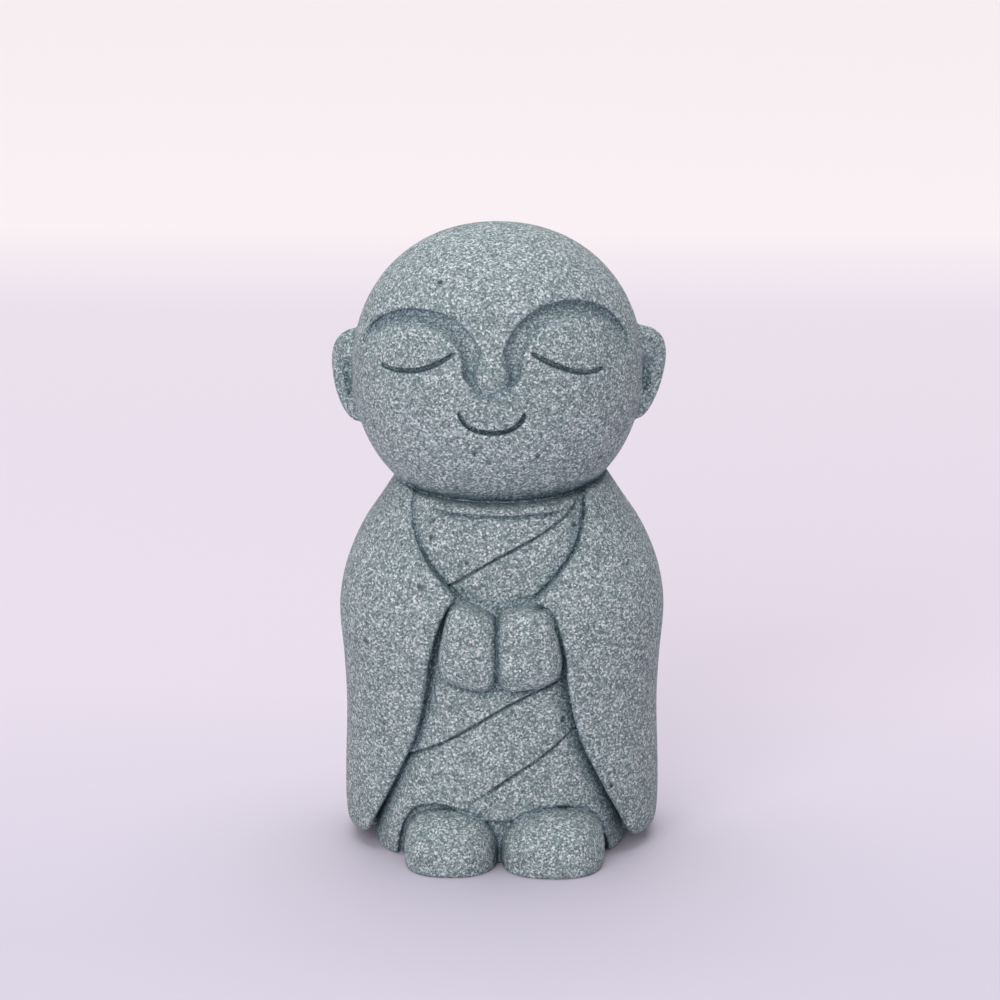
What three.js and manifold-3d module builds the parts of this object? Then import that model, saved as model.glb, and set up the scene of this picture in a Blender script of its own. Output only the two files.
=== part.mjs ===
// A jizo: a small standing child monk of cast stone, with closed eyes, joined hands and bare feet.
// It is moulded in one piece. Millimetres, +Z up, the face towards -Y. The origin is on the ground,
// under the middle of the space that the figure takes up.
import * as THREE from "three";
import { mergeVertices } from "three/addons/utils/BufferGeometryUtils.js";
import Module from "manifold-3d";

const wasm = await Module();
wasm.setup();

// Driving dimensions.
const HEIGHT = 65; // ground to crown
const DEPTH = 30.5; // toe tips to the back of the head
const HEAD_WIDTH = 30;
const HEAD_DEPTH = 27;
const HEAD_HEIGHT = 30.2;
const HEAD_SHIFT = -0.45; // the head sits a little to the figure's right
const EAR_HEIGHT = 9.8;
const EAR_WIDTH = 6.2;
const EAR_THICKNESS = 3;
const EAR_REACH = 2.05; // how far an ear stands out past the side of the head
const LEFT_EAR_RISE = 0.6; // the left ear sits a little higher
const BODY_WIDTH = 33.8; // over the sleeves, at the elbows
const BODY_DEPTH = 26.6; // from the wrists to the back
const NECK_SINK = 4.2; // how far the body's top reaches up into the head
const RIGHT_HAND_WIDTH = 5.95;
const LEFT_HAND_WIDTH = 6.6;
const HAND_HEIGHT = 9.4;
const HAND_REACH = 1.4; // how far the hands stand out past the cuffs
const HAND_PRESS = 0.25; // how far each hand is pressed past the middle
const RIGHT_FOOT_WIDTH = 9.7; // the feet are a little unlike, as carved by hand
const LEFT_FOOT_WIDTH = 10.7;
const FOOT_LENGTH = 12.4;
const FOOT_HEIGHT = 5.9;
const FEET_GAP = 0.3;
const LAYER = 0.4; // thickness of one fold of the robe
const BACK_LAYER = 0.7; // step from the sleeves down to the robe at the back
const COLLAR_WIDTH = 1.2; // across the rounded rim
const CHEST_DROP = 1.4; // from the top of the cloak down to the top of the robe at the chest
const SLEEVE_RISE = 0.85; // height of the cloak's lower edge beside the feet
const SLIT_WIDTH = 0.75; // carved line of the eyelids and the mouth
const SOCKET_DEPTH = 0.9; // how deep the face is cut under the brow
const RIGHT_BROW_DROP = 0.9; // how much lower the right brow's arch is than the left one's

// Where the masses stand. The upright axis of the body runs through the middle of the head.
const BODY_HEIGHT = HEIGHT - HEAD_HEIGHT + NECK_SINK;
const HEAD_Z = HEIGHT - HEAD_HEIGHT / 2;
const TOES_Y = HEAD_DEPTH / 2 - DEPTH;
const FAR = 2 * HEIGHT; // longer than any cut needs
const FRONT_RISE_LENGTH = BODY_DEPTH * 0.58; // the cloak's lower edge reaches the ground this far back

const STONE = new THREE.MeshStandardMaterial({
  color: 0x8a9796,
  roughness: 0.9,
  metalness: 0,
});

// A closed three.js geometry as a solid that can be joined and cut.
function solidOf(geometry) {
  geometry.deleteAttribute("normal");
  geometry.deleteAttribute("uv");
  const merged = mergeVertices(geometry, 1e-4);
  const mesh = new wasm.Mesh({
    numProp: 3,
    vertProperties: merged.attributes.position.array,
    triVerts: new Uint32Array(merged.index.array),
  });
  return new wasm.Manifold(mesh);
}

function geometryOf(solid) {
  const mesh = solid.getMesh();
  const geometry = new THREE.BufferGeometry();
  const positions = new THREE.BufferAttribute(mesh.vertProperties, 3);
  geometry.setAttribute("position", positions);
  geometry.setIndex(new THREE.BufferAttribute(mesh.triVerts, 1));
  geometry.computeVertexNormals();
  return geometry;
}

const joined = (solids) => solids.reduce((whole, next) => whole.add(next));

// Moves every vertex of a geometry to where the function puts it.
function shaped(geometry, place) {
  const positions = geometry.attributes.position;
  const point = new THREE.Vector3();
  for (let i = 0; i < positions.count; i++) {
    point.fromBufferAttribute(positions, i);
    place(point);
    positions.setXYZ(i, point.x, point.y, point.z);
  }
  return geometry;
}

// A ball pressed towards a rounded block, with its own half-sizes and power.
function pebble(halfSizes, power, around, rings) {
  return shaped(new THREE.SphereGeometry(1, around, rings), (point) => {
    const [x, y, z] = [point.x, -point.z, point.y];
    const sum = Math.abs(x) ** power + Math.abs(y) ** power + Math.abs(z) ** power;
    const reach = sum ** (-1 / power);
    point.set(x * reach * halfSizes[0], y * reach * halfSizes[1], z * reach * halfSizes[2]);
  });
}

// A block with an outline in X and Z. It starts at a depth and runs to the front, or to the back.
function cutter(outline, startY, toBack = false) {
  const options = { depth: FAR, bevelEnabled: false };
  const block = new THREE.ExtrudeGeometry(new THREE.Shape(outline), options);
  block.rotateX(Math.PI / 2);
  block.translate(0, toBack ? startY + FAR : startY, 0);
  return solidOf(block);
}

// The body. Each of its masses is a stack of rounded sections. A station gives a height as a
// share of the body's height, then the half-width, the front reach and the back reach there, as
// shares of half the body's width and depth.
const CLOAK = {
  squareness: 2.5,
  around: 48,
  levels: 18,
  stations: [
    [0.0, 0.89, 0.8, 0.84],
    [0.02, 0.935, 0.82, 0.87],
    [0.07, 0.966, 0.84, 0.895],
    [0.17, 0.973, 0.86, 0.92],
    [0.37, 0.962, 0.93, 0.965],
    [0.5, 0.975, 0.98, 0.985],
    [0.64, 1.0, 1.0, 0.99],
    [0.73, 0.972, 0.975, 0.965],
    [0.8, 0.918, 0.925, 0.905],
    [0.865, 0.845, 0.855, 0.825],
    [0.93, 0.745, 0.785, 0.745],
    [1.0, 0.64, 0.7, 0.67],
  ],
};
const ROBE = {
  squareness: 2.35,
  around: 40,
  levels: 16,
  stations: [
    [0.0, 0.785, 0.945, 0.775],
    [0.07, 0.8, 0.965, 0.83],
    [0.17, 0.8, 0.955, 0.855],
    [0.27, 0.795, 0.915, 0.88],
    [0.37, 0.79, 0.87, 0.902],
    [0.5, 0.79, 0.835, 0.925],
    [0.64, 0.81, 0.815, 0.93],
    [0.73, 0.82, 0.825, 0.905],
    [0.8, 0.81, 0.83, 0.845],
    [0.865, 0.765, 0.815, 0.765],
    [0.93, 0.69, 0.775, 0.69],
    [1.0, 0.6, 0.69, 0.61],
  ],
};

const bodyX = (share) => (share * BODY_WIDTH) / 2;
const bodyY = (share) => (share * BODY_DEPTH) / 2;
const bodyZ = (share) => share * BODY_HEIGHT;

// A smooth curve through stations [t, value, value, ...], as a function from t to the values.
function smoothThrough(stations) {
  const slope = (i, k) => {
    const before = stations[Math.max(i - 1, 0)];
    const after = stations[Math.min(i + 1, stations.length - 1)];
    return (after[k] - before[k]) / (after[0] - before[0]);
  };
  return (t) => {
    const last = stations.length - 2;
    const found = stations.findIndex((_, i) => i === last || t < stations[i + 1][0]);
    const from = stations[found];
    const to = stations[found + 1];
    const span = to[0] - from[0];
    const s = THREE.MathUtils.clamp((t - from[0]) / span, 0, 1);
    const near = (1 + 2 * s) * (1 - s) ** 2;
    const leave = s * (1 - s) ** 2 * span;
    const arrive = s * s * (s - 1) * span;
    return from.slice(1).map((value, k) => {
      const eased = near * value + (1 - near) * to[k + 1];
      return eased + leave * slope(found, k + 1) + arrive * slope(found + 1, k + 1);
    });
  };
}

// A mass of the body: a turned cylinder whose circles are stretched to the rounded sections. It
// can be grown all round, as a layer of cloth lies over what it covers, or shrunk.
function standingMass({ squareness, around, levels, stations }, grow = 0) {
  const sizes = smoothThrough(stations);
  const round = (value) => Math.sign(value) * Math.abs(value) ** (2 / squareness);
  const profile = [new THREE.Vector2(0, 0)];
  for (let i = 0; i <= levels; i++) profile.push(new THREE.Vector2(1, i / levels));
  profile.push(new THREE.Vector2(0, 1));
  const mass = shaped(new THREE.LatheGeometry(profile, around), (point) => {
    const [width, front, back] = sizes(point.y);
    const share = Math.hypot(point.x, point.z);
    const angle = Math.atan2(point.x, point.z);
    const along = round(Math.cos(angle));
    point.set(
      share * round(Math.sin(angle)) * (bodyX(width) + grow),
      -share * along * (bodyY(along > 0 ? front : back) + grow),
      bodyZ(point.y),
    );
  });
  return solidOf(mass);
}

// Carved outlines of the body, from the right to the left as the picture shows them, or for the
// mirrored ones from the top to the ground: [share of half the width, share of the height].
const CHEST_EDGE = [
  [0.5, 1.05],
  [0.518, 0.923],
  [0.476, 0.851],
  [0.355, 0.774],
  [0.235, 0.72],
];
const CUFF_EDGE = [
  [0.235, 0.72],
  [0.335, 0.655],
  [0.405, 0.56],
  [0.44, 0.465],
  [0.495, 0.35],
  [0.63, 0.21],
  [0.8, 0.05],
  [0.88, -0.05],
];
const CHEST_FOLD = [
  [0.62, 1.05],
  [0.5, 0.985],
  [0.41, 0.938],
  [0.305, 0.905],
  [0.18, 0.873],
  [0.056, 0.845],
  [-0.09, 0.809],
  [-0.276, 0.759],
  [-0.6, 0.68],
];
const UPPER_FOLD = [
  [0.9, 0.585],
  [0.4, 0.505],
  [0.08, 0.44],
  [-0.28, 0.345],
  [-0.5, 0.295],
  [-0.9, 0.2],
];
const LOWER_FOLD = [
  [0.9, 0.47],
  [0.47, 0.365],
  [0.26, 0.295],
  [0.05, 0.235],
  [-0.1, 0.19],
  [-0.35, 0.12],
];
const BACK_EDGE = [
  [0.0, 0.7],
  [0.22, 0.685],
  [0.42, 0.62],
  [0.55, 0.5],
  [0.63, 0.3],
  [0.69, 0.05],
  [0.71, -0.05],
];
const BACK_FOLD = [
  [0.75, 0.2],
  [0.35, 0.37],
  [-0.1, 0.5],
  [-0.75, 0.63],
];
const HANDS_TOP = [
  [0.55, 0.709],
  [0.05, 0.698],
  [0.0, 0.674],
  [-0.55, 0.793],
];
const WAIST = 0.66; // hidden behind the hands, where the chest's folds end and the skirt's begin

// The arch of the hem over the feet: [share of a foot's width from the middle between them, share
// of a foot's height].
const HEM_ARCH = [
  [1.05, -0.33],
  [1.02, 0.265],
  [0.908, 0.727],
  [0.64, 1.03],
  [0.292, 0.88],
  [0.024, 0.8],
  [-0.2, 0.845],
  [-0.33, 0.93],
  [-0.55, 1.06],
  [-0.897, 0.958],
  [-1.028, 0.628],
  [-1.089, 0.2],
  [-1.124, -0.33],
];
const feetMiddle = bodyX(0.015);

// A carved outline in millimetres, smoothed between the given places.
function carved(places, steps) {
  const points = places.map(([x, z]) => new THREE.Vector2(bodyX(x), bodyZ(z)));
  return new THREE.SplineCurve(points).getPoints(steps);
}

function hemArch() {
  const points = HEM_ARCH.map(([across, up]) => {
    const width = across > 0 ? LEFT_FOOT_WIDTH : RIGHT_FOOT_WIDTH;
    return new THREE.Vector2(feetMiddle + across * width, up * FOOT_HEIGHT);
  });
  return new THREE.SplineCurve(points).getPoints(30);
}

// The opening between an edge on the left and its mirror image on the right.
function between(edge) {
  const opposite = edge.map((point) => new THREE.Vector2(-point.x, point.y)).reverse();
  return [...edge, ...(edge[0].x === 0 ? opposite.slice(0, -1) : opposite)];
}

// All that lies above a fold.
function above(fold) {
  const right = fold[0].x;
  const left = fold[fold.length - 1].x;
  return [...fold, new THREE.Vector2(left, FAR), new THREE.Vector2(right, FAR)];
}

// Robe: the chest, the skirt and its hem, which is cut back in an arch over the feet. Its folds
// lie over each other, and the last one is the outermost.
function robe() {
  const level = [new THREE.Vector2(FAR, bodyZ(WAIST)), new THREE.Vector2(-FAR, bodyZ(WAIST))];
  const chestSide = cutter(above(level), 0);
  const lowerLayer = standingMass(ROBE, LAYER);
  const upperLayer = standingMass(ROBE, 2 * LAYER);
  const skirt = joined([
    lowerLayer.intersect(cutter(above(carved(LOWER_FOLD, 24)), 0)),
    upperLayer.intersect(cutter(above(carved(UPPER_FOLD, 24)), 0)),
  ]);
  return joined([
    standingMass(ROBE),
    skirt.subtract(chestSide),
    lowerLayer.intersect(cutter(above(carved(CHEST_FOLD, 24)), 0)).intersect(chestSide),
  ])
    .subtract(cutter(hemArch(), bodyY(-0.78)))
    .trimByPlane([0, 0, -1], CHEST_DROP - BODY_HEIGHT);
}

// Cloak: the shoulders and the long sleeves in one. It is open at the chest and below the hands,
// and at the back an arch is carved out of it, in which the robe shows with one fold. Its lower
// edge rises a little towards the front.
function cloak() {
  const front = [...carved(CHEST_EDGE, 12), ...carved(CUFF_EDGE, 22).slice(1)];
  const fold = cutter(above(carved(BACK_FOLD, 16)), 0, true);
  const arch = cutter(between(carved(BACK_EDGE, 20)), 0, true)
    .subtract(standingMass(CLOAK, -BACK_LAYER))
    .subtract(standingMass(CLOAK, LAYER - BACK_LAYER).intersect(fold));
  return standingMass(CLOAK)
    .subtract(cutter(between(front), bodyY(-0.25)))
    .subtract(arch)
    .trimByPlane([0, SLEEVE_RISE / FRONT_RISE_LENGTH, 1], SLEEVE_RISE);
}

// Collar: a rounded rim in front of the neck, standing out a little from the robe.
function collar() {
  const height = 0.955;
  const [width, front] = smoothThrough(ROBE.stations)(height);
  const rim = new THREE.TorusGeometry(1, COLLAR_WIDTH / 2 / bodyX(width), 6, 40);
  shaped(rim, (point) => {
    const reach = bodyY(front) + LAYER;
    point.set(
      point.x * bodyX(width),
      point.y * reach,
      point.z * bodyX(width) + bodyZ(height),
    );
  });
  return solidOf(rim).trimByPlane([0, -1, 0], 0);
}

// Hands: two rounded blocks pressed together, narrower at the top, where they are cut off along
// the lower edge of the chest.
function hand(side, width) {
  const halfWidth = width / 2;
  const depth = 0.61 * RIGHT_HAND_WIDTH;
  const taper = 0.3;
  const lean = 0.16;
  const block = shaped(pebble([halfWidth, depth, HAND_HEIGHT / 2], 3.3, 16, 12), (point) => {
    const narrowing = 1 - (taper * point.z) / HAND_HEIGHT;
    point.x = point.x * narrowing - side * halfWidth * (1 - narrowing);
    point.z += (lean * HAND_HEIGHT * side * point.x) / width;
  });
  block.translate(
    side * (halfWidth - HAND_PRESS),
    bodyY(-1) - HAND_REACH + depth,
    bodyZ(0.602),
  );
  const top = HANDS_TOP.map(([x, z]) => new THREE.Vector2(bodyX(x), bodyZ(z)));
  return solidOf(block).subtract(cutter(above(top), 0));
}

// Feet: rounded blocks that come out from under the hem and stand flat.
function foot(side, width) {
  const halfHeight = 0.78 * FOOT_HEIGHT;
  const block = pebble([width / 2, FOOT_LENGTH / 2, halfHeight], 2.45, 20, 12);
  const middle = feetMiddle + (side * (FEET_GAP + width)) / 2;
  block.translate(middle, TOES_Y + FOOT_LENGTH / 2, FOOT_HEIGHT - halfHeight);
  return solidOf(block);
}

// The head. Places on it are given in shares of its half-width and half-height, from its middle,
// and the sizes of what is carved there are shares of its own sizes.
const ROUNDNESS = 2.12; // power of the head's form, where 2 is an ellipsoid
const BROW = { u: 0.5, w: 0.2, across: 0.195, up: 0.185 };
const LID = { u: 0.56, w: 0.06, across: 0.25, thick: 0.16, up: 0.245, rise: 0.25, turn: 0.5 };
const NOSE = { w: 0.125, across: 0.064, thick: 0.07, up: 0.063, rise: 0.35, foot: -0.012 };
const LEFT_EYELID = [
  [0.265, 0.27],
  [0.36, 0.215],
  [0.47, 0.162],
  [0.58, 0.125],
  [0.67, 0.116],
  [0.74, 0.135],
];
const RIGHT_EYELID = [
  [-0.25, 0.265],
  [-0.36, 0.193],
  [-0.48, 0.142],
  [-0.6, 0.12],
  [-0.7, 0.122],
  [-0.765, 0.14],
];
const MOUTH = [
  [-0.222, -0.135],
  [-0.195, -0.195],
  [-0.125, -0.248],
  [0, -0.27],
  [0.125, -0.248],
  [0.195, -0.195],
  [0.222, -0.135],
];

const headX = (u) => (u * HEAD_WIDTH) / 2;
const headZ = (w) => (w * HEAD_HEIGHT) / 2;

// A ball of the head's form, grown or shrunk.
function headBall(around, rings, grow = 0) {
  const halfSizes = [HEAD_WIDTH, HEAD_DEPTH, HEAD_HEIGHT].map((size) => size / 2 + grow);
  return pebble(halfSizes, ROUNDNESS, around, rings);
}

// The point of the face at a place, lifted off the ball or sunk into it.
function onFace(u, w, lift) {
  const out = (1 - Math.abs(u) ** ROUNDNESS - Math.abs(w) ** ROUNDNESS) ** (1 / ROUNDNESS);
  const point = new THREE.Vector3(headX(u), (-out * HEAD_DEPTH) / 2, headZ(w));
  return point.addScaledVector(point.clone().normalize(), lift);
}

// The outline of an eye socket from the front: the round brow, the side of the nose, and the
// line of the closed lid, along which the socket runs out into the cheek.
function socketOutline(side) {
  const middle = headX(side * BROW.u);
  const across = BROW.across * HEAD_WIDTH;
  const temple = side > 0 ? 0 : Math.PI;
  const outline = new THREE.Shape();
  outline.absellipse(
    middle,
    headZ(BROW.w),
    across,
    BROW.up * HEAD_HEIGHT - (side < 0 ? RIGHT_BROW_DROP : 0),
    temple,
    Math.PI - temple,
    side < 0,
  );
  outline.lineTo(middle - side * across, headZ(NOSE.foot));
  outline.lineTo(middle, headZ(LID.w));
  return outline.getPoints(16);
}

// Eye sockets: each is cut down to a smaller ball inside the head, a second ball, set lower, lets
// it run out beside the nose, and a domed lid lies in it.
function socket(side) {
  const cheek = headBall(32, 22);
  cheek.translate(0, -0.008 * HEAD_DEPTH, -0.115 * HEAD_HEIGHT);
  const thick = LID.thick * HEAD_DEPTH;
  const lid = pebble([LID.across * HEAD_WIDTH, thick, LID.up * HEAD_HEIGHT], 2, 26, 18);
  lid.rotateZ(side * LID.turn);
  lid.translate(...onFace(side * LID.u, LID.w, LID.rise - thick));
  const kept = [headBall(32, 22, -SOCKET_DEPTH), cheek, lid].map(solidOf);
  return cutter(socketOutline(side), -0.2 * HEAD_DEPTH).subtract(joined(kept));
}

// A carved line on the face through places, such as a closed eye or the smile.
function slit(places) {
  const path = new THREE.CatmullRomCurve3(places.map(([u, w]) => onFace(u, w, 0.1)));
  const circle = new THREE.EllipseCurve(0, 0, SLIT_WIDTH / 2, SLIT_WIDTH / 2);
  const section = new THREE.Shape(circle.getPoints(5).slice(1));
  const options = { steps: 10, bevelEnabled: false, extrudePath: path };
  return solidOf(new THREE.ExtrudeGeometry(section, options));
}

// Head: a round ball with eye sockets and a short nose, whose tip stands out.
function head() {
  const thick = NOSE.thick * HEAD_DEPTH;
  const nose = pebble([NOSE.across * HEAD_WIDTH, thick, NOSE.up * HEAD_HEIGHT], 2.2, 12, 10);
  nose.translate(...onFace(0, NOSE.w, NOSE.rise - thick));
  return solidOf(headBall(46, 29))
    .subtract(joined([socket(-1), socket(1)]))
    .add(solidOf(nose))
    .subtract(joined([LEFT_EYELID, RIGHT_EYELID, MOUTH].map(slit)))
    .translate(HEAD_SHIFT, 0, HEAD_Z);
}

// Ears: flat pebbles, wider at the top, turned forwards, each with a hollow in its face.
function ear(side) {
  const turn = 0.5;
  const blade = (width, thickness, height) =>
    shaped(pebble([width / 2, thickness / 2, height / 2], 2.2, 14, 10), (point) => {
      point.x *= 1 + (0.44 * point.z) / height;
    });
  const shell = blade(EAR_WIDTH, EAR_THICKNESS, EAR_HEIGHT);
  const hollow = blade(0.55 * EAR_WIDTH, 0.7 * EAR_THICKNESS, 0.62 * EAR_HEIGHT);
  hollow.translate(side * 0.06 * EAR_WIDTH, -0.5 * EAR_THICKNESS, 0.06 * EAR_HEIGHT);
  const halfWidth = (EAR_WIDTH * Math.cos(turn)) / 2;
  const middle = side * (HEAD_WIDTH / 2 + EAR_REACH - halfWidth) + HEAD_SHIFT;
  const [outside, inside] = [shell, hollow].map((shape) => {
    shape.rotateZ(side * turn);
    shape.translate(middle, 0, HEAD_Z - 0.03 * HEAD_HEIGHT + (side > 0 ? LEFT_EAR_RISE : 0));
    return solidOf(shape);
  });
  return outside.subtract(inside);
}

// The whole figure, cut flat on the ground and moved so that it stands over the origin.
function figure() {
  const earth = new THREE.BoxGeometry(FAR, FAR, FAR);
  earth.translate(0, 0, -FAR / 2);
  const whole = joined([
    robe(),
    cloak(),
    collar(),
    hand(-1, RIGHT_HAND_WIDTH),
    hand(1, LEFT_HAND_WIDTH),
    foot(-1, RIGHT_FOOT_WIDTH),
    foot(1, LEFT_FOOT_WIDTH),
    head(),
    ear(-1),
    ear(1),
  ]);
  return geometryOf(whole.subtract(solidOf(earth)));
}

const jizo = new THREE.Mesh(figure(), STONE);
jizo.name = "jizo_figure";
jizo.geometry.computeBoundingBox();
const middle = jizo.geometry.boundingBox.getCenter(new THREE.Vector3());
jizo.position.set(-middle.x, -middle.y, 0);

const part = new THREE.Group();
part.add(jizo);

export default part;
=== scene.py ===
"""A small jizo of cast stone: a child monk with closed eyes, joined hands and long sleeves.

The figurine is one moulding. Its form is built up here as a sculptor would do it, mass by mass,
as distances in millimetres from each surface. The whole is then skinned with one fine mesh.
"""

import math

import bmesh
import bpy
import numpy as np
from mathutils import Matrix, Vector


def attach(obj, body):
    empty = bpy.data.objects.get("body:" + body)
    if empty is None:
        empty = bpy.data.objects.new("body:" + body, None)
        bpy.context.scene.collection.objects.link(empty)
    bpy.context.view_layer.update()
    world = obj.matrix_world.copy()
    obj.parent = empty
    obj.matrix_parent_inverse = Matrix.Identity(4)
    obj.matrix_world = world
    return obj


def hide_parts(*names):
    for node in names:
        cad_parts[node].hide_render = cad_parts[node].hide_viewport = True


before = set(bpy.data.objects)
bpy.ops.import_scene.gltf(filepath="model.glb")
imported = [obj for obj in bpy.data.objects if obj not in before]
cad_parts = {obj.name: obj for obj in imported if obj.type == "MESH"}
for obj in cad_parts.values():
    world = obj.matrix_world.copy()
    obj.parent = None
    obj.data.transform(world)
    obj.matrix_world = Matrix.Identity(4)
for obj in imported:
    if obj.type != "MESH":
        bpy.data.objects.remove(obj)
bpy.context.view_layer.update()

# Head.
# A round ball, a little flattened at the front and the back. It is 30 mm wide and takes up
# nearly half of the figure. The head sits slightly to the figure's right on its neck.
HEIGHT = 65
HEAD_WIDTH, HEAD_DEPTH, HEAD_HEIGHT = 30, 27, 30.2
HEAD_SHIFT = -0.45
HEAD_Z = HEIGHT - HEAD_HEIGHT / 2
ROUNDNESS = 2.12


def pebble(x, y, z, half_sizes, power):
    """Distance from a rounded block round the origin, less than nothing inside it."""
    near = [(abs(v) / h) ** (power - 1) for v, h in zip((x, y, z), half_sizes)]
    total = sum(n * abs(v) / h for n, v, h in zip(near, (x, y, z), half_sizes))
    total = np.maximum(total, 1e-6)
    slope = np.sqrt(sum((n / h) ** 2 for n, h in zip(near, half_sizes)))
    slope = np.maximum(slope * total ** (1 / power - 1), 1e-6)
    return (total ** (1 / power) - 1) / slope


def joined(a, b, radius):
    """The union of two forms, with a fillet of about that radius between them."""
    overlap = np.maximum(radius - abs(a - b), 0)
    return np.minimum(a, b) - overlap**2 / (4 * radius)


def cut(a, b, radius):
    """The first form where it is also outside the second, with a rounded edge."""
    return -joined(-a, b, radius)


def head_ball(x, y, z):
    return pebble(x, y, z, (HEAD_WIDTH / 2, HEAD_DEPTH / 2, HEAD_HEIGHT / 2), ROUNDNESS)


# Face.
# The sockets are cut under round brows and run out along the nose and into the cheeks. A domed
# lid lies in each, with the closed eye carved along it, and the smile is one more carved line.
FACE_Y = -2
SOCKET_DEPTH = 0.9
BROW = {"u": 0.5, "w": 0.2, "across": 0.39, "up": 0.37}
BROW_LEAN, BROW_LEAN_HEIGHT = 0.14, 3.5
RIGHT_BROW_DROP = 0.9
CHEEK_REACH, CHEEK_DROP = 0.008, 0.115
LID = {"u": 0.56, "w": 0.06, "across": 7.5, "thick": 4.32, "up": 7.4, "rise": 0.25, "turn": 0.5}
NOSE = {"w": 0.125, "across": 1.85, "thick": 1.9, "up": 1.9, "rise": 0.6, "foot": -0.012}
LEFT_EYELID = [
    (0.265, 0.27),
    (0.36, 0.215),
    (0.47, 0.162),
    (0.58, 0.125),
    (0.67, 0.116),
    (0.74, 0.135),
]
RIGHT_EYELID = [
    (-0.25, 0.265),
    (-0.36, 0.193),
    (-0.48, 0.142),
    (-0.6, 0.12),
    (-0.7, 0.122),
    (-0.765, 0.14),
]
SMILE = [(-0.222, -0.135), (-0.195, -0.195), (-0.125, -0.248), (0, -0.27)]
SMILE += [(-u, w) for u, w in SMILE[-2::-1]]
UNDER_NOSE = [(-0.09, 0.02), (0, -0.015), (0.09, 0.02)]
LINE_WIDTH, LINE_DEPTH = 0.52, 0.9
UNDER_NOSE_WIDTH, UNDER_NOSE_DEPTH = 0.6, 0.3
FAR = 9.0


def on_face(u, w, lift=0.0):
    """The point of the face at shares of the head's half-width and half-height."""
    out = (1 - abs(u) ** ROUNDNESS - abs(w) ** ROUNDNESS) ** (1 / ROUNDNESS)
    point = Vector((u * HEAD_WIDTH, -out * HEAD_DEPTH, w * HEAD_HEIGHT)) / 2
    return point + point.normalized() * lift


def smooth_path(places, count):
    """Points spaced along a smooth curve through the places."""
    places = np.array(places, float)
    way = np.r_[0, np.cumsum(np.linalg.norm(np.diff(places, axis=0), axis=1))]
    slopes = np.gradient(places, way, axis=0)
    at = np.linspace(0, way[-1], count)
    found = np.clip(np.searchsorted(way, at, side="right") - 1, 0, len(way) - 2)
    span = (way[found + 1] - way[found])[:, None]
    s = (at - way[found])[:, None] / span
    start, end = places[found], places[found + 1]
    leave, arrive = slopes[found] * span, slopes[found + 1] * span
    bend = s * (1 - s) * ((1 - s) * (leave - end + start) - s * (arrive - end + start))
    return start + s * (end - start) + bend


def carved_line(x, y, z, places, width, depth):
    """Distance from a line carved into the face, which is thinner towards its ends."""
    path = np.array([on_face(u, w) for u, w in smooth_path(places, count=14)])
    flat = depth / (width / 2)
    margin = 1.5
    low, high = path.min(0) - margin, path.max(0) + margin
    close = (x > low[0]) & (x < high[0]) & (y < high[1]) & (z > low[2]) & (z < high[2])
    spot = np.stack([x[close], y[close] / flat, z[close]], -1)
    path[:, 1] /= flat
    best = np.full(len(spot), FAR)
    for i in range(len(path) - 1):
        along = path[i + 1] - path[i]
        share = np.clip((spot - path[i]) @ along / (along @ along), 0, 1)
        gap = np.linalg.norm(spot - path[i] - share[:, None] * along, axis=1)
        way = (i + share) / (len(path) - 1)
        thin = np.sqrt(np.clip(1 - abs(2 * way - 1) ** 4, 0, 1))
        best = np.minimum(best, gap - width / 2 * (0.45 + 0.55 * thin))
    distance = np.full(x.shape, FAR)
    distance[close] = best
    return distance


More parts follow.
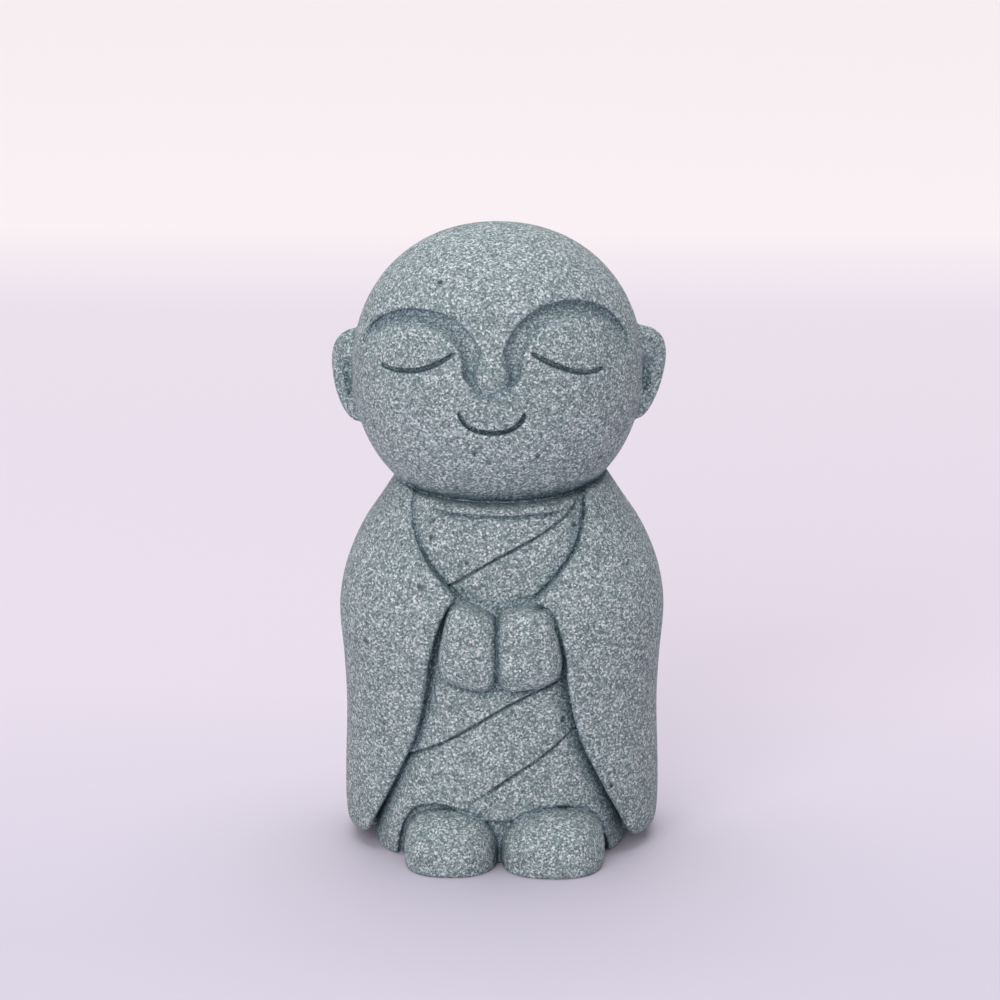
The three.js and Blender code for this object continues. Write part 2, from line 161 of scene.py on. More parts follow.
def face(x, y, z):
    """The head with its carved face, round the middle of the head."""
    ball = head_ball(x, y, z)
    front = y < FACE_Y
    xf, yf, zf = x[front], y[front], z[front]
    side = abs(xf)
    across, up = BROW["across"] * HEAD_WIDTH / 2, BROW["up"] * HEAD_HEIGHT / 2
    middle, brow_z = BROW["u"] * HEAD_WIDTH / 2, BROW["w"] * HEAD_HEIGHT / 2
    rise = np.maximum(zf - brow_z, 0)
    up = up - np.where(xf < 0, RIGHT_BROW_DROP, 0)
    off_middle = side - middle + BROW_LEAN * np.clip(brow_z - zf, 0, BROW_LEAN_HEIGHT)
    brow = pebble(off_middle, 0 * xf, rise, (across, 1, up), 2)
    lid_z = LID["w"] * HEAD_HEIGHT / 2
    foot_z = NOSE["foot"] * HEAD_HEIGHT / 2
    level = np.interp(side, [middle - across, middle, middle + across], [foot_z, lid_z, brow_z])
    outline = np.maximum(brow, level - zf)
    fade = np.interp(side, [middle - across, middle], [1.2, 3.2])
    fade = np.clip((zf - level) / fade, 0, 1)
    fade = fade * fade * (3 - 2 * fade)
    depth = SOCKET_DEPTH * fade * np.interp(side, [middle, middle + across], [1, 0.45])
    floor = ball[front] + depth
    cheek = head_ball(xf, yf + CHEEK_REACH * HEAD_DEPTH, zf + CHEEK_DROP * HEAD_HEIGHT)
    spot = on_face(LID["u"], LID["w"], LID["rise"] - LID["thick"])
    dx, dy, dz = side - spot.x, yf - spot.y, zf - spot.z
    c, s = math.cos(LID["turn"]), math.sin(LID["turn"])
    half_sizes = (LID["across"], LID["thick"], LID["up"])
    lid = pebble(c * dx + s * dy, c * dy - s * dx, dz, half_sizes, 2)
    kept = joined(joined(floor, cheek, 0.5), lid, 0.5)
    carved = cut(ball[front], np.maximum(outline, -kept), 0.7)
    bed = pebble(off_middle, 0 * xf, rise, (across - 0.5, 1, up - 0.5), 2)
    inner = np.clip((middle + 0.6 * across - side) / (1.6 * across), 0, 1)
    valley = np.hypot(bed, ball[front] + 0.5 * depth) - 0.2 - 0.75 * inner
    valley = valley + 2 * (1 - fade)
    carved = cut(carved, valley, 0.6)
    tip = on_face(0, NOSE["w"], NOSE["rise"] - NOSE["thick"])
    half_sizes = (NOSE["across"], NOSE["thick"], NOSE["up"])
    nose = pebble(xf, yf - tip.y, zf - tip.z, half_sizes, 2.2)
    carved = joined(carved, nose, 0.7)
    for places in (LEFT_EYELID, RIGHT_EYELID, SMILE):
        line = carved_line(xf, yf, zf, places, LINE_WIDTH, LINE_DEPTH)
        carved = cut(carved, line, 0.08)
    line = carved_line(xf, yf, zf, UNDER_NOSE, UNDER_NOSE_WIDTH, UNDER_NOSE_DEPTH)
    carved = cut(carved, line, 0.4)
    ball[front] = carved
    return ball


# Ears.
# Flat rounded ears, wider at the top, turned forwards by nearly 30 degrees. In the face of each,
# a groove leaves a raised rim, and there is a small hollow inside the groove.
EAR_HEIGHT, EAR_WIDTH, EAR_THICKNESS = 9.8, 6.2, 3
EAR_REACH = 2.05
EAR_TURN = 0.5
EAR_DROP = 0.03
LEFT_EAR_RISE = 0.6
LEFT_EAR_TAPER, RIGHT_EAR_TAPER = 0.75, 0.5
GROOVE_RADIUS = 0.42


def ear(x, y, z, side):
    reach = EAR_WIDTH / 2 * math.cos(EAR_TURN)
    lift, taper = (LEFT_EAR_RISE, LEFT_EAR_TAPER) if side > 0 else (0, RIGHT_EAR_TAPER)
    dx, dy = x - side * (HEAD_WIDTH / 2 + EAR_REACH - reach), y
    dz = z + EAR_DROP * HEAD_HEIGHT - lift
    c, s = math.cos(EAR_TURN), side * math.sin(EAR_TURN)
    wide = 1 + taper * np.clip(dz / EAR_HEIGHT, -0.5, 0.35)
    lx, ly = (c * dx + s * dy) / wide, c * dy - s * dx
    half_sizes = np.array([EAR_WIDTH / 2, EAR_THICKNESS / 2, EAR_HEIGHT / 2])
    shell = pebble(lx, ly, dz, half_sizes, 2.2)
    face_y = ly + 0.48 * EAR_THICKNESS
    rim = pebble(lx, 0 * lx, dz, half_sizes * (0.64, 1, 0.68), 2.2)
    groove = np.hypot(rim, face_y) - GROOVE_RADIUS
    narrow = 1 + 0.5 * np.clip(dz / 2, -1, 1)
    inside = ((lx * side - 0.45) / narrow, face_y, dz)
    hollow = pebble(*inside, (0.85, 1.1, 0.2 * EAR_HEIGHT), 2)
    return cut(cut(shell, groove, 0.3), hollow, 0.4)


def head(x, y, z):
    x, z = x - HEAD_SHIFT, z - HEAD_Z
    return joined(joined(face(x, y, z), ear(x, y, z, -1), 0.4), ear(x, y, z, 1), 0.4)


# Cloak.
# The shoulders and the long sleeves in one mass. It is open at the chest and below the hands,
# and at the back an arch is carved out of it, in which the robe shows.
BODY_WIDTH, BODY_DEPTH = 33.8, 26.6
BODY_HEIGHT = HEIGHT - HEAD_HEIGHT + 4.2
LAYER, BACK_LAYER = 0.4, 0.7
SLEEVE_RISE = 0.85
NECK_TOP, NECK_BOW = 37.5, 0.0075
NAPE_LINE, COLLAR_BOW = 36.9, 0.009
COLLAR_WIDTH, COLLAR_HEIGHT, COLLAR_CREASE = 1.1, 0.6, 0.28
CREASE_WIDTH, CREASE_DEPTH = 0.16, 0.3
CUFF_TOP = 0.72
BACK_ARCH_TOP = 0.7
# Each station is a share of the body's height, then the half-width, the front reach and the
# back reach there, as shares of half the body's width and depth.
CLOAK = [
    (0.0, 0.89, 0.8, 0.84),
    (0.02, 0.935, 0.82, 0.87),
    (0.07, 0.966, 0.84, 0.895),
    (0.17, 0.973, 0.86, 0.92),
    (0.37, 0.962, 0.93, 0.965),
    (0.5, 0.975, 0.98, 0.985),
    (0.64, 1.0, 1.0, 0.99),
    (0.73, 0.972, 0.975, 0.965),
    (0.8, 0.918, 0.925, 0.905),
    (0.865, 0.845, 0.855, 0.825),
    (0.93, 0.745, 0.785, 0.745),
    (1.0, 0.64, 0.7, 0.67),
]
CHEST_EDGE = [(0.235, 0.72), (0.355, 0.774), (0.476, 0.851), (0.518, 0.923), (0.5, 1.05)]
CUFF_EDGE = [
    (0.88, -0.05),
    (0.8, 0.05),
    (0.63, 0.21),
    (0.495, 0.35),
    (0.44, 0.465),
    (0.405, 0.56),
    (0.335, 0.655),
    (0.235, 0.72),
]
BACK_EDGE = [(0.71, -0.05), (0.69, 0.05), (0.63, 0.3), (0.55, 0.5), (0.42, 0.62), (0.22, 0.685)]
BACK_EDGE += [(0, 0.7)]
BACK_FOLD = [(-0.75, 0.63), (-0.1, 0.5), (0.35, 0.37), (0.75, 0.2)]


def smooth_values(t, stations):
    """The values at t of a smooth curve through stations (t, value, value, ...)."""
    stations = np.array(stations, float)
    at, values = stations[:, 0], stations[:, 1:]
    ends = np.r_[0, np.arange(len(at)), len(at) - 1]
    slopes = (values[ends[2:]] - values[ends[:-2]]) / (at[ends[2:]] - at[ends[:-2]])[:, None]
    fine = np.linspace(at[0], at[-1], 400)
    found = np.clip(np.searchsorted(at, fine, side="right") - 1, 0, len(at) - 2)
    span = (at[found + 1] - at[found])[:, None]
    s = (fine - at[found])[:, None] / span
    near = (1 + 2 * s) * (1 - s) ** 2
    leave = s * (1 - s) ** 2 * span * slopes[found]
    arrive = s * s * (s - 1) * span * slopes[found + 1]
    curve = near * values[found] + (1 - near) * values[found + 1] + leave + arrive
    return [np.interp(t, fine, column) for column in curve.T]


def standing_mass(x, y, z, stations, squareness):
    """Distance from a stack of rounded sections through the stations."""
    width, front, back = smooth_values(z / BODY_HEIGHT, stations)
    half_width = width * BODY_WIDTH / 2
    half_depth = np.where(y < 0, front, back) * BODY_DEPTH / 2
    side = pebble(x, y, 0 * z, (half_width, half_depth, 1), squareness)
    return np.maximum(side, z - BODY_HEIGHT)


def on_body(places):
    """Places in shares of the body's half-width and height, in millimetres."""
    return [(u * BODY_WIDTH / 2, w * BODY_HEIGHT) for u, w in places]


def beside(a, b, places):
    """Distance from a carved edge, less than nothing on its low-a side."""
    points = smooth_path(on_body(places), 60)
    edge = np.interp(b, points[:, 1], points[:, 0])
    lean = np.gradient(points[:, 0], points[:, 1])
    return (a - edge) / np.sqrt(1 + np.interp(b, points[:, 1], lean) ** 2)


def over(x, z, line):
    """Distance above a line in millimetres, which is given from the left to the right."""
    points = smooth_path(line, 60)
    lean = np.gradient(points[:, 1], points[:, 0])
    level = np.interp(x, points[:, 0], points[:, 1])
    return (z - level) / np.sqrt(1 + np.interp(x, points[:, 0], lean) ** 2)


def lip(distance):
    """The height of a fold of cloth, by the distance from its edge: a crease, then a layer."""
    layer = LAYER * np.clip(0.5 + distance / CREASE_WIDTH, 0, 1)
    crease = CREASE_DEPTH * np.exp(-(((distance + 0.12) / CREASE_WIDTH) ** 2))
    slope = 0.12 * np.exp(-np.maximum(-distance, 0) / 0.8)
    return layer - crease - slope * (distance < 0)


def rolled(level):
    """The height of the collar's rolled edge and the crease under it, by the height above it."""
    roll = COLLAR_HEIGHT * np.sqrt(np.clip(1 - (level / (COLLAR_WIDTH / 2) - 1) ** 2, 0, 1))
    return roll - COLLAR_CREASE * np.exp(-(((level + 0.08) / 0.26) ** 2))


def neck_line(x, y):
    """The height of the clothes under the head, which is lower in front."""
    return NECK_TOP + NECK_BOW * x**2 + np.interp(y, [-3, 3], [0, 1.5])


def cloak(x, y, z):
    mass = standing_mass(x, y, z, CLOAK, 2.5)
    lower_edge = SLEEVE_RISE * (1 - y / (0.58 * BODY_DEPTH))
    mass = cut(mass, z - lower_edge, 1.2)
    side = abs(x)
    chest = beside(side, z, CHEST_EDGE)
    cuffs = beside(side, z, CUFF_EDGE)
    opening = np.where(z > CUFF_TOP * BODY_HEIGHT, chest, cuffs)
    opening = np.maximum(opening, y + 0.25 * BODY_DEPTH / 2)
    arch = np.maximum(beside(side, z, BACK_EDGE), z - BACK_ARCH_TOP * BODY_HEIGHT)
    fold = over(x, z, on_body(BACK_FOLD))
    recess = np.maximum(np.maximum(arch, -y), -(mass + BACK_LAYER - lip(fold)))
    over_neck = z - neck_line(x, y) - LAYER
    level = z - NAPE_LINE - COLLAR_BOW * x**2
    mass = mass - rolled(level) * np.clip((10 - abs(x)) / 3, 0, 1) * (y > 0)
    return cut(cut(cut(mass, opening, 0.7), recess, 0.3), -over_neck, 0.5)


# Hands.
# Two mittens pressed together in front of the waist. The tops slope towards the seam, more so on
# the right hand, and a narrow gap parts the hands from the cuffs that they come out of.
RIGHT_HAND_WIDTH, LEFT_HAND_WIDTH, HAND_HEIGHT = 5.95, 6.6, 9.4
HAND_REACH = 1.4
HAND_LEVEL = 0.602
HANDS_OVERLAP = 0.25
CUFF_GAP = 0.15
# Each slope over a hand is its height at the middle of the figure and its rise to the left.
LEFT_HAND_SLOPES = [(27.2, 0.05), (26.3, 1.2)]
RIGHT_HAND_SLOPE = (26.3, -0.5)


def hand(x, y, z, side, width):
    depth = 0.61 * RIGHT_HAND_WIDTH
    dx = x - side * (width / 2 - HANDS_OVERLAP)
    dy = y + BODY_DEPTH / 2 + HAND_REACH - depth
    dz = z - HAND_LEVEL * BODY_HEIGHT - 0.16 * HAND_HEIGHT * side * dx / width
    narrow = 1 - 0.3 * np.clip(dz / HAND_HEIGHT, -0.6, 0.6)
    dx = (dx + side * width / 2 * (1 - narrow)) / narrow
    block = pebble(dx, dy, dz, (width / 2, depth, HAND_HEIGHT / 2), 3.3)
    if side > 0:
        top = np.maximum(*[z - level - rise * x for level, rise in LEFT_HAND_SLOPES])
    else:
        level, rise = RIGHT_HAND_SLOPE
        top = (z - level - rise * x) / 1.12
    return cut(block, -top, 0.8)


# Feet.
# Plain rounded feet that come out from under the hem and stand flat, the left one wider.
FOOT_LENGTH, FOOT_HEIGHT = 12.4, 5.9
RIGHT_FOOT_WIDTH, LEFT_FOOT_WIDTH = 9.7, 10.7
FEET_GAP = 0.3
FEET_MIDDLE = 0.25
TOES_Y = -17.0


def foot(x, y, z, side, width):
    half_height = 0.78 * FOOT_HEIGHT
    middle = FEET_MIDDLE + side * (FEET_GAP + width) / 2
    half_sizes = (width / 2, FOOT_LENGTH / 2, half_height)
    dy, dz = y - TOES_Y - FOOT_LENGTH / 2, z - FOOT_HEIGHT + half_height
    return pebble(x - middle, dy, dz, half_sizes, 2.45)


def feet(x, y, z, radius):
    right = foot(x, y, z, -1, RIGHT_FOOT_WIDTH)
    left = foot(x, y, z, 1, LEFT_FOOT_WIDTH)
    return joined(right, left, radius)


# Robe.
# The robe under the cloak shows at the chest, in the skirt and at the hem, where an arch leaves
# room for the feet. Its folds lie over each other from one shoulder down to the other side.
ROBE = [
    (0.0, 0.785, 0.945, 0.775),
    (0.07, 0.8, 0.965, 0.83),
    (0.17, 0.8, 0.955, 0.855),
    (0.27, 0.795, 0.915, 0.88),
    (0.37, 0.79, 0.87, 0.902),
    (0.5, 0.79, 0.835, 0.925),
    (0.64, 0.81, 0.815, 0.93),
    (0.73, 0.82, 0.825, 0.905),
    (0.8, 0.81, 0.83, 0.845),
    (0.865, 0.765, 0.815, 0.765),
    (0.93, 0.69, 0.775, 0.69),
    (1.0, 0.6, 0.69, 0.61),
]
CHEST_FOLD = [
    (-0.6, 0.68),
    (-0.276, 0.759),
    (-0.09, 0.809),
    (0.056, 0.845),
    (0.18, 0.873),
    (0.305, 0.905),
    (0.41, 0.938),
    (0.5, 0.985),
    (0.62, 1.05),
]
UPPER_FOLD = [
    (-0.9, 0.2),
    (-0.5, 0.295),
    (-0.28, 0.345),
    (0.08, 0.44),
    (0.4, 0.505),
    (0.9, 0.585),
]
LOWER_FOLD = [
    (-0.35, 0.12),
    (-0.1, 0.19),
    (0.05, 0.235),
    (0.26, 0.295),
    (0.47, 0.365),
    (0.9, 0.47),
]
# The arch over the feet, in shares of a foot's width from the middle and of a foot's height.
HEM_ARCH = [
    (-1.124, -0.33),
    (-1.089, 0.2),
    (-1.028, 0.628),
    (-0.897, 0.958),
    (-0.55, 1.06),
    (-0.33, 0.93),
    (-0.2, 0.845),
    (0.024, 0.8),
    (0.292, 0.88),
    (0.64, 1.03),
    (0.908, 0.727),
    (1.02, 0.265),
    (1.05, -0.33),
]
WAIST = 0.66
COLLAR_LINE = 36.6
CHEST_CREASE, CUFF_HOLLOW = 0.25, 0.7
HEM_GAP, HEM_DEPTH = 0.15, 0.8


def robe(x, y, z):
    reach = np.clip((x + 3.2) / 3, 0, 1)
    folds = lip(over(x, z, on_body(LOWER_FOLD))) * reach + LAYER * (1 - reach)
    folds = folds + lip(over(x, z, on_body(UPPER_FOLD)))
    chest = lip(over(x, z, on_body(CHEST_FOLD)))
    height = np.where(z > WAIST * BODY_HEIGHT, chest, folds) * (y < 0)
    mass = standing_mass(x, y, z, ROBE, 2.35) - height
    above = z > CUFF_TOP * BODY_HEIGHT
    chest_side = np.where(above, beside(abs(x), z, CHEST_EDGE), FAR)
    cuff_side = np.where(above, FAR, beside(abs(x), z, CUFF_EDGE))
    mass = mass + CHEST_CREASE * np.exp(-(((chest_side + 0.05) / 0.2) ** 2))
    deep = np.clip((0.64 - z / BODY_HEIGHT) / 0.1, 0.25, 1) * (y < 0)
    mass = mass + CUFF_HOLLOW * deep * np.exp(-(((cuff_side + 0.1) / 0.9) ** 2))
    level = z - COLLAR_LINE - COLLAR_BOW * x**2
    mass = mass - rolled(level) * np.clip((7.8 - abs(x)) / 2, 0, 1) * (y < 0)
    mass = cut(mass, neck_line(x, y) - z, 0.5)
    line = []
    for across, up in HEM_ARCH:
        width = RIGHT_FOOT_WIDTH if across < 0 else LEFT_FOOT_WIDTH
        line.append((FEET_MIDDLE + across * width, up * FOOT_HEIGHT))
    arch = np.maximum(np.minimum(over(x, z, line), feet(x, y, z, 0.3) - HEM_GAP), y)
    return cut(mass, np.maximum(arch, -mass - HEM_DEPTH), 0.5)


# The whole figure as one casting.
# All the masses are joined, with small fillets where a mould would have them, and the underside
# is flat. The skin is found on a fine grid, pulled onto the form and thinned where it is plain.
HANDS_SEAM_X, HANDS_SEAM_BACK, HANDS_SEAM_RADIUS = 0.12, -14.2, 0.2
CUFF_GAP_BACK = -11.6
GRID_STEP = 0.17
GRID_START, GRID_SIZE = np.array([-19.0, -18.5, -1.0]), np.array([38, 34, 68])
BLOCK = 4
TRIANGLES = 190_000
SAME_PLACE = 0.002


def figure(x, y, z):
    """Distance from the whole figure in millimetres, less than nothing inside it."""
    whole = joined(cloak(x, y, z), robe(x, y, z), 0.15)
    high = z > 0.8 * BODY_HEIGHT
    at = x[high], y[high], z[high]
    whole[high] = joined(whole[high], head(*at), 0.25)
    near = (z < 0.75 * BODY_HEIGHT) & (y < 0)
    at = x[near], y[near], z[near]
    hands = joined(hand(*at, -1, RIGHT_HAND_WIDTH), hand(*at, 1, LEFT_HAND_WIDTH), 0.08)
    gap = hands - CUFF_GAP * np.clip((-10.8 - at[1]) / 1.2, 0.3, 1)
    clothes = cut(whole[near], np.maximum(gap, at[1] - CUFF_GAP_BACK), 0.6)
    off_seam = np.hypot(at[0] - HANDS_SEAM_X, np.maximum(at[1] - HANDS_SEAM_BACK, 0))
    hands = cut(hands, off_seam - HANDS_SEAM_RADIUS, 0.15)
    whole[near] = joined(joined(clothes, hands, 0.35), feet(*at, 0.2), 0.35)
    return cut(whole, z, 0.3)


def skin(step):
    """Vertices and four-sided faces of the figure's surface on a grid of that step."""
    counts = np.ceil(GRID_SIZE / (step * BLOCK)).astype(int)
    blocks = np.stack(np.meshgrid(*[np.arange(n) for n in counts], indexing="ij"), -1)
    blocks = blocks.reshape(-1, 3)
    centres = GRID_START + (blocks + 0.5) * BLOCK * step
    reach = 0.5 * math.sqrt(3) * BLOCK * step
    blocks = blocks[abs(figure(*centres.T)) < 1.5 * reach + 0.3]
    corner = np.stack(np.meshgrid(*[np.arange(BLOCK + 1)] * 3, indexing="ij"), -1)
    knots = blocks[:, None] * BLOCK + corner.reshape(-1, 3)
    field = figure(*(GRID_START + knots.reshape(-1, 3) * step).T)
    field = field.reshape(-1, BLOCK + 1, BLOCK + 1, BLOCK + 1)
    solid = field < 0
    size = counts * BLOCK + 1
    ids = (knots[..., 0] * size[1] + knots[..., 1]) * size[2] + knots[..., 2]
    ids = ids.reshape(field.shape)
    own = np.s_[:, :-1, :-1, :-1]
    cell_sum = np.zeros(solid[own].shape, int)
    for dx, dy, dz in np.ndindex(2, 2, 2):
        cell_sum += solid[:, dx : BLOCK + dx, dy : BLOCK + dy, dz : BLOCK + dz]
    active = (cell_sum > 0) & (cell_sum < 8)
    cell_ids = np.sort(ids[own][active])
    where = np.full(size.prod() + 1, -1, np.int32)
    where[cell_ids] = np.arange(len(cell_ids))
    cells = np.stack(np.unravel_index(cell_ids, size), -1)
    vertices = GRID_START + (cells + 0.5) * step
    faces = []
    jumps = np.array([size[1] * size[2], size[2], 1])
    for axis in range(3):
        shift = [slice(None)] + [slice(0, BLOCK)] * 3
        shift[axis + 1] = slice(1, BLOCK + 1)
        crossing = solid[own] != solid[tuple(shift)]
        edge = ids[own][crossing]
        inwards = solid[own][crossing]
        b, c = jumps[(axis + 1) % 3], jumps[(axis + 2) % 3]
        ring = np.stack([where[edge - b - c], where[edge - c], where[edge], where[edge - b]], -1)
        ring[~inwards] = ring[~inwards][:, ::-1]
        faces.append(ring)
    return vertices, np.concatenate(faces)


def settle(points):
    """Moves points onto the surface of the figure, along its slope."""
    tiny, flattest, longest_move = 0.02, 0.2, 0.15
    for _ in range(3):
        value = figure(*points.T)
        slope = []
        for axis in range(3):
            beside_it = points.copy()
            beside_it[:, axis] += tiny
            slope.append((figure(*beside_it.T) - value) / tiny)
        slope = np.stack(slope, -1)
        steep = np.maximum((slope**2).sum(-1), flattest)
        move = -(value / steep)[:, None] * slope
        length = np.linalg.norm(move, axis=1)[:, None]
        points = points + move * np.minimum(1, longest_move / np.maximum(length, 1e-9))
    return points


def skinned_figure():
    """The figure as one mesh, and where its middle was before it moved to the origin."""
    vertices, faces = skin(GRID_STEP)
    vertices = settle(vertices)
    middle = np.zeros(3)
    middle[:2] = (vertices[:, :2].min(0) + vertices[:, :2].max(0)) / 2
    vertices -= middle
    vertices[:, 2] = np.maximum(vertices[:, 2], 0)
    mesh = bpy.data.meshes.new("jizo")
    mesh.from_pydata((vertices / 1000).tolist(), [], faces.tolist())
    piece = bpy.data.objects.new("jizo", mesh)
    bpy.context.collection.objects.link(piece)
    count = 2 * len(faces)
    if count > TRIANGLES:
        thin = piece.modifiers.new("thin", "DECIMATE")
        thin.ratio = TRIANGLES / count
        thin.use_collapse_triangulate = True
        evaluated = piece.evaluated_get(bpy.context.evaluated_depsgraph_get())
        piece.data = bpy.data.meshes.new_from_object(evaluated)
        piece.modifiers.clear()
    made = bmesh.new()
    made.from_mesh(piece.data)
    bmesh.ops.remove_doubles(made, verts=made.verts, dist=SAME_PLACE / 1000)
    bmesh.ops.dissolve_degenerate(made, edges=made.edges, dist=SAME_PLACE / 2000)
    stray = {face for edge in made.edges if edge.is_boundary for face in edge.link_faces}
    bmesh.ops.delete(made, geom=list(stray), context="FACES")
    made.to_mesh(piece.data)
    made.free()
    piece.data.shade_smooth()
    return piece, middle


jizo, centre = skinned_figure()
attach(jizo, "root")
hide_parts("jizo_figure")


def write_crease_shade(mesh, reaches=(0.5, 1.2)):
    """Writes how much the form closes in on each vertex, from 0 on open surfaces to 1, for
    painted shade.
    """
    count = len(mesh.vertices)
    points, normals = np.zeros(count * 3), np.zeros(count * 3)
    mesh.vertices.foreach_get("co", points)
    mesh.vertex_normals.foreach_get("vector", normals)
    points, normals = points.reshape(-1, 3) * 1000 + centre, normals.reshape(-1, 3)
    closed = np.zeros(count)
    for reach in reaches:
        free = figure(*(points + reach * normals).T) / reach
        closed += np.clip(1.05 - free, 0, 1) / len(reaches)
    depth = mesh.attributes.new("crease", "FLOAT", "POINT")
    depth.data.foreach_set("value", closed.astype(np.float32))


write_crease_shade(jizo.data)

# Cast stone.
# Stone powder in resin: a grey-green body with grains from near white to dark green, a few of
# them purplish, and dark specks. Some grains are glossier. Painted shade darkens and cools the
# colour where the form closes in, in each crease and between parts.
stone = bpy.data.materials.new("cast_stone")
stone.use_nodes = True
tree = stone.node_tree


def node(tree, kind, values=(), **settings):
    """A node with its settings, and with its inputs set or linked by name."""
    made = tree.nodes.new("ShaderNode" + kind)
    for name, value in settings.items():
        setattr(made, name, value)
    for name, value in dict(values).items():
        if isinstance(value, bpy.types.NodeSocket):
            tree.links.new(value, made.inputs[name])
        else:
            made.inputs[name].default_value = value
    return made


def ramp(tree, value, stops):
    """The colour that a ramp through the stops gives a value."""
    made = node(tree, "ValToRGB", {"Fac": value})
    steps = made.color_ramp.elements
    while len(steps) < len(stops):
        steps.new(0.5)
    for step, (place, colour) in zip(steps, stops):
        step.position, step.color = place, (*colour, 1)
    return made.outputs["Color"]


def times(tree, one, other):
    """The product of two colours."""
    inputs = {"Factor": 1, 6: one, 7: other}
    return node(tree, "Mix", inputs, data_type="RGBA", blend_type="MULTIPLY").outputs[2]


metres = node(tree, "TexCoord").outputs["Object"]
at_mm = node(tree, "Mapping", {"Vector": metres, "Scale": (1000, 1000, 1000)}).outputs[0]
drift = node(tree, "TexNoise", {"Vector": at_mm, "Scale": 8, "Detail": 1}).outputs["Color"]
sway = {0: drift, 1: (0.22, 0.22, 0.22), 2: at_mm}
loose = node(tree, "VectorMath", sway, operation="MULTIPLY_ADD").outputs[0]
cells = node(tree, "TexVoronoi", {"Vector": loose, "Scale": 6}).outputs["Color"]
grain = node(tree, "SeparateColor", {"Color": cells}).outputs
powder = node(tree, "TexNoise", {"Vector": at_mm, "Scale": 6.5, "Detail": 2, "Roughness": 0.6})
blend = {"Factor": 0.55, "A": grain["Red"], "B": powder.outputs["Fac"]}
mixed = node(tree, "Mix", blend, data_type="FLOAT").outputs["Result"]
tone = ramp(
    tree,
    mixed,
    [
        (0.22, (0.065, 0.1, 0.1)),
        (0.4, (0.165, 0.215, 0.215)),
        (0.53, (0.25, 0.305, 0.31)),
        (0.63, (0.4, 0.45, 0.45)),
        (0.74, (0.75, 0.78, 0.77)),
    ],
)
tint = ramp(
    tree,
    grain["Green"],
    [
        (0.1, (0.92, 1.02, 0.97)),
        (0.3, (1, 1, 1)),
        (0.75, (1, 1, 1)),
        (0.95, (1.05, 0.96, 1.06)),
    ],
)
off_speck = node(tree, "TexVoronoi", {"Vector": loose, "Scale": 0.26}).outputs["Distance"]
edge = node(tree, "MapRange", {"Value": off_speck, "From Min": 0.05, "From Max": 0.11})
dark_speck = {"Factor": edge.outputs[0], 6: (0.3, 0.33, 0.33, 1), 7: (1, 1, 1, 1)}
specks = node(tree, "Mix", dark_speck, data_type="RGBA").outputs[2]
# Painted shade: where the form closes in, in each crease and between parts, the colour is
# darkened and turned blue-grey.
shade = ramp(
    tree,
    node(tree, "Attribute", attribute_name="crease").outputs["Fac"],
    [
        (0.08, (1, 1, 1)),
        (0.5, (0.76, 0.82, 0.87)),
        (0.93, (0.52, 0.6, 0.66)),
        (1, (0.33, 0.41, 0.46)),
    ],
)
colour = times(tree, times(tree, times(tree, tone, tint), specks), shade)
rough = node(tree, "MapRange", {"Value": grain["Blue"], "To Min": 0.95, "To Max": 0.6})
bump = node(tree, "Bump", {"Height": mixed, "Strength": 0.5, "Distance": 0.00008})
shader = tree.nodes["Principled BSDF"]
shader.inputs["Specular IOR Level"].default_value = 0.35
tree.links.new(colour, shader.inputs["Base Color"])
tree.links.new(rough.outputs[0], shader.inputs["Roughness"])
tree.links.new(bump.outputs[0], shader.inputs["Normal"])
jizo.data.materials.append(stone)

# Floor, light and camera.
# A pale floor under soft daylight from overhead, with a weaker lamp in front, and the camera of
# the picture: a long lens, a little above the figure and nearly square to it. Painted shade
# makes the floor darker in front of and under the figure, for its soft shadow.
CAMERA_DISTANCE = 450
CAMERA_AZIMUTH, CAMERA_ELEVATION = math.radians(2.5), math.radians(13.5)
AIM = Vector((0.4, 1.75, 35.6)) / 1000

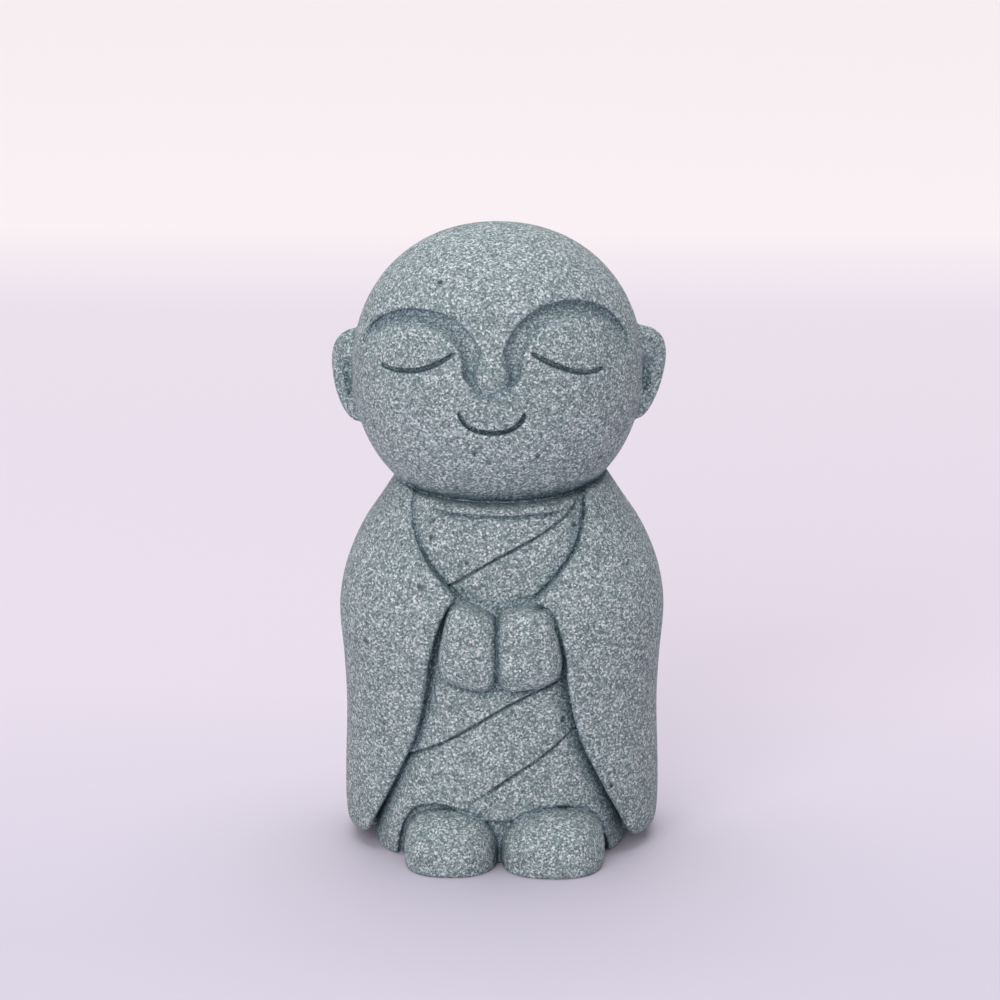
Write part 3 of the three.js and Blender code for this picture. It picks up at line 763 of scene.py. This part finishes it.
floor_mesh = bpy.data.meshes.new("floor")
floor_mesh.from_pydata([(-2, -2, 0), (2, -2, 0), (2, 2, 0), (-2, 2, 0)], [], [(0, 1, 2, 3)])
floor = bpy.data.objects.new("floor", floor_mesh)
bpy.context.collection.objects.link(floor)
pale = bpy.data.materials.new("pale_floor")
pale.use_nodes = True
floor_tree = pale.node_tree
spot = node(floor_tree, "TexCoord").outputs["Object"]
along = node(floor_tree, "SeparateXYZ", {"Vector": spot}).outputs["Y"]
back = node(floor_tree, "MapRange", {"Value": along, "From Min": -0.08, "From Max": 0.37})
# Painted shade: the floor is darkest in front of and under the figure, for its soft shadow, and
# lighter and warmer towards the back.
floor_tone_and_shade = ramp(
    floor_tree,
    back.outputs[0],
    [
        (0.1, (0.57, 0.53, 0.62)),
        (0.3, (0.69, 0.62, 0.7)),
        (0.82, (0.75, 0.675, 0.745)),
        (1, (0.9, 0.82, 0.82)),
    ],
)
floor_shader = floor_tree.nodes["Principled BSDF"]
floor_shader.inputs["Roughness"].default_value = 0.6
floor_tree.links.new(floor_tone_and_shade, floor_shader.inputs["Base Color"])
floor_mesh.materials.append(pale)

daylight = bpy.data.objects.new("daylight", bpy.data.lights.new("daylight", "SUN"))
daylight.data.energy, daylight.data.angle = 1.9, math.radians(60)
daylight.rotation_euler = Vector((-0.02, 0.25, 1)).to_track_quat("Z", "Y").to_euler()
bpy.context.collection.objects.link(daylight)
window = bpy.data.objects.new("window", bpy.data.lights.new("window", "AREA"))
window.data.size, window.data.energy = 0.4, 2.3
window.location = (-0.18, -0.6, 0.3)
window.rotation_euler = (AIM - window.location).to_track_quat("-Z", "Y").to_euler()
bpy.context.collection.objects.link(window)

world = bpy.data.worlds.new("studio")
world.use_nodes = True
background = world.node_tree.nodes["Background"]
background.inputs["Color"].default_value = (0.93, 0.93, 1, 1)
background.inputs["Strength"].default_value = 0.49
bpy.context.scene.world = world
bpy.context.scene.view_settings.view_transform = "Standard"

camera = bpy.data.objects.new("camera", bpy.data.cameras.new("camera"))
bpy.context.collection.objects.link(camera)
towards = Vector(
    (
        math.cos(CAMERA_ELEVATION) * math.sin(CAMERA_AZIMUTH),
        -math.cos(CAMERA_ELEVATION) * math.cos(CAMERA_AZIMUTH),
        math.sin(CAMERA_ELEVATION),
    )
)
camera.location = AIM + towards * CAMERA_DISTANCE / 1000
camera.rotation_euler = (-towards).to_track_quat("-Z", "Y").to_euler()
camera.data.lens = 155.5
camera.data.shift_x = -0.002
camera.data.shift_y = 0.002
bpy.context.scene.camera = camera
